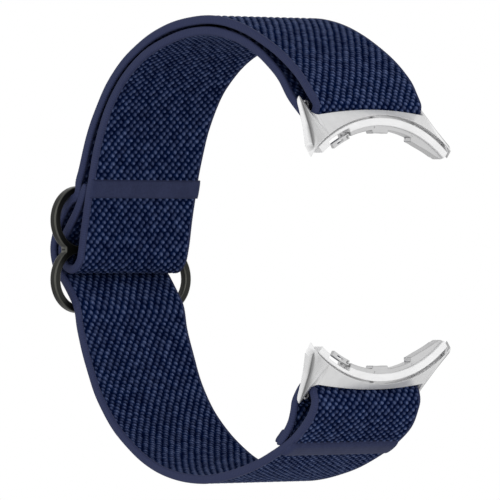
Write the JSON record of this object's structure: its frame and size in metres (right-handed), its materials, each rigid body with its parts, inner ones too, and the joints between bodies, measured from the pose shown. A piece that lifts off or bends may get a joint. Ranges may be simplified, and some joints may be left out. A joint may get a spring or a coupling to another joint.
{
  "type": "fitness tracker band",
  "caption": "Elastic woven loop band with a two-ring metal slider and curved metal adapters that lock into a round tracker case.",
  "frame": {"origin": "centre of the round tracker case that the two adapters close on, in the plane of the adapters' front rims", "axes": "+X out of the open front where the case sits, +Y across the band's width, +Z the upper adapter's side"},
  "size_m": [0.0673, 0.028, 0.0722],
  "materials": {
    "webbing": "coarse woven elastic nylon, navy",
    "seam_tape": "smooth pressed seam, muted indigo",
    "slider_metal": "dark gunmetal, satin",
    "polished_steel": "polished stainless steel",
    "satin_steel": "satin stainless steel",
    "spring_steel": "plain spring steel"
  },
  "bodies": {
    "band_back": {"through_strap": "webbing", "slider_loop_strap": "webbing", "slider_seam_tape": "seam_tape"},
    "slider": {"slider_frame": "slider_metal"},
    "upper_strap": {"upper_strap_fold": "webbing"},
    "lower_strap": {"lower_strap_fold": "webbing", "lower_seam_tape_outer": "seam_tape", "lower_seam_tape_inner": "seam_tape"},
    "upper_adapter": {"upper_adapter_shell": "polished_steel", "upper_locking_rail": "satin_steel", "upper_rail_stud_a": "spring_steel", "upper_rail_stud_b": "spring_steel", "upper_latch_rivet": "spring_steel", "upper_spring_bar_barrel": "spring_steel", "upper_spring_bar_coil": "spring_steel"},
    "upper_latch": {"upper_latch_tab": "spring_steel"},
    "upper_tip_near": {"upper_spring_bar_tip_near": "spring_steel"},
    "upper_tip_far": {"upper_spring_bar_tip_far": "spring_steel"},
    "lower_adapter": {"lower_adapter_shell": "polished_steel", "lower_locking_rail": "satin_steel", "lower_rail_stud_a": "spring_steel", "lower_rail_stud_b": "spring_steel", "lower_latch_rivet": "spring_steel", "lower_spring_bar_barrel": "spring_steel", "lower_spring_bar_coil": "spring_steel"},
    "lower_latch": {"lower_latch_tab": "spring_steel"},
    "lower_tip_near": {"lower_spring_bar_tip_near": "spring_steel"},
    "lower_tip_far": {"lower_spring_bar_tip_far": "spring_steel"}
  },
  "joints": [
    {"name": "slider_tilt", "type": "hinge", "parent": "band_back", "child": "slider", "pos_m": [-0.06276, 0, 0], "axis": [0, 1, 0], "range_deg": [-1, 0.5]},
    {"name": "upper_strap_flex", "type": "hinge", "parent": "band_back", "child": "upper_strap", "pos_m": [-0.0292, 0, 0.03465], "axis": [0, -1, 0], "range_deg": [-15, 25]},
    {"name": "lower_strap_flex", "type": "hinge", "parent": "band_back", "child": "lower_strap", "pos_m": [-0.0304, 0, -0.0355], "axis": [0, 1, 0], "range_deg": [-15, 25]},
    {"name": "upper_adapter_pivot", "type": "hinge", "parent": "upper_strap", "child": "upper_adapter", "pos_m": [-0.00575, 0, 0.022], "axis": [0, 1, 0], "range_deg": [-20, 20]},
    {"name": "upper_latch_press", "type": "hinge", "parent": "upper_adapter", "child": "upper_latch", "pos_m": [-0.0009, -0.00677, 0.01709], "axis": [-1, 0, 0], "range_deg": [0, 6], "stiffness_Nm_per_rad": 0.03, "springref_deg": -2.86},
    {"name": "upper_tip_near_retract", "type": "slide", "parent": "upper_adapter", "child": "upper_tip_near", "axis": [0, 1, 0], "range_m": [0, 0.0007], "stiffness_N_per_m": 300, "springref_m": -0.004},
    {"name": "upper_tip_far_retract", "type": "slide", "parent": "upper_adapter", "child": "upper_tip_far", "axis": [0, -1, 0], "range_m": [0, 0.0007], "stiffness_N_per_m": 300, "springref_m": -0.004},
    {"name": "lower_adapter_pivot", "type": "hinge", "parent": "lower_strap", "child": "lower_adapter", "pos_m": [-0.00575, 0, -0.022], "axis": [0, -1, 0], "range_deg": [-20, 20]},
    {"name": "lower_latch_press", "type": "hinge", "parent": "lower_adapter", "child": "lower_latch", "pos_m": [-0.0009, -0.00677, -0.01709], "axis": [1, 0, 0], "range_deg": [0, 6], "stiffness_Nm_per_rad": 0.03, "springref_deg": -2.86},
    {"name": "lower_tip_near_retract", "type": "slide", "parent": "lower_adapter", "child": "lower_tip_near", "axis": [0, 1, 0], "range_m": [0, 0.0007], "stiffness_N_per_m": 300, "springref_m": -0.004},
    {"name": "lower_tip_far_retract", "type": "slide", "parent": "lower_adapter", "child": "lower_tip_far", "axis": [0, -1, 0], "range_m": [0, 0.0007], "stiffness_N_per_m": 300, "springref_m": -0.004}
  ]
}
